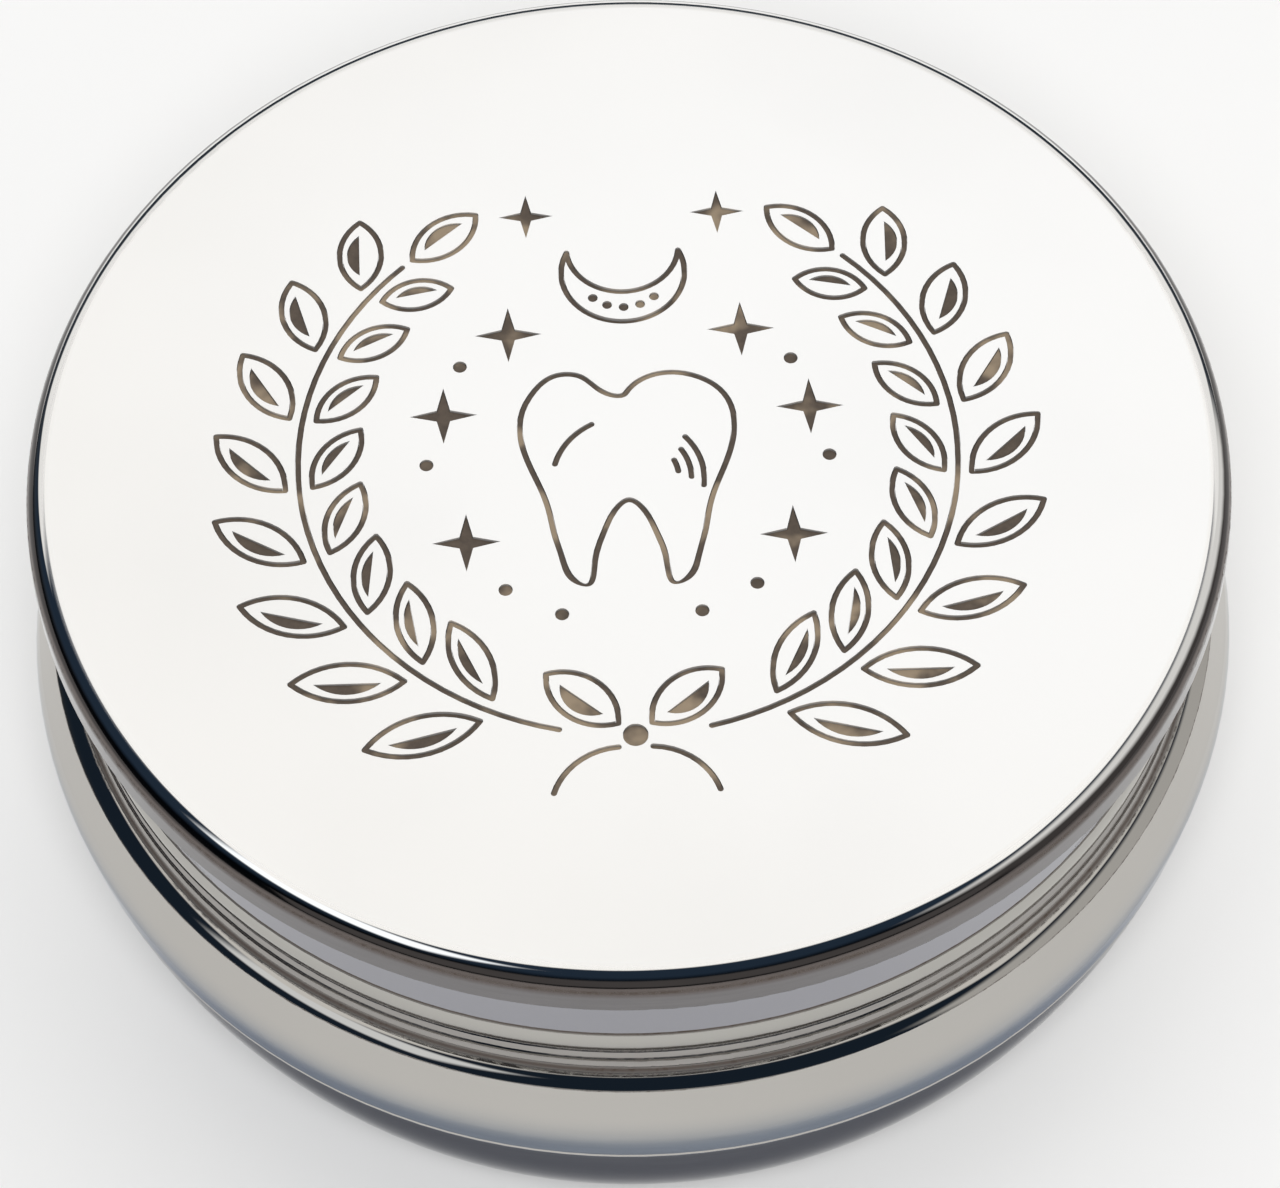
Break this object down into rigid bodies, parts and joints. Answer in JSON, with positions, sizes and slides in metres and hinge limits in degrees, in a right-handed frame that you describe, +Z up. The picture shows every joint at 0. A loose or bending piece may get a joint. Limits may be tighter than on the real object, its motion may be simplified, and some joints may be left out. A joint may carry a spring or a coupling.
{
  "type": "baby tooth box",
  "caption": "Round plated metal keepsake box with a lift-off engraved lid, turned neck, rounded bowl and a padded floor for milk teeth.",
  "frame": {"origin": "middle of the underside of the base, on the surface that the box stands on", "axes": "+Z up through the lid, the way it lifts off; -Y towards the viewer, where the foot of the engraved design lies; +X to the right"},
  "size_m": [0.0492, 0.0492, 0.023],
  "materials": {
    "silver_plate": "mirror polished silver plate",
    "oxide": "dark brown oxidised filling, matt",
    "card": "plain grey-brown board",
    "velvet": "short dusk-blue velvet pile",
    "baize": "dark felted baize"
  },
  "bodies": {
    "base": {"bowl": "silver_plate", "neck_collar": "silver_plate", "bezel_ring": "silver_plate", "base_felt": "baize", "floor_card": "card", "floor_pad": "velvet"},
    "lid": {"lid_cap": "silver_plate", "lid_skirt": "silver_plate", "engraving_infill": "oxide"}
  },
  "joints": [
    {"name": "lid_lift", "type": "slide", "parent": "base", "child": "lid", "axis": [0, 0, 1], "range_m": [0, 0.03]}
  ]
}
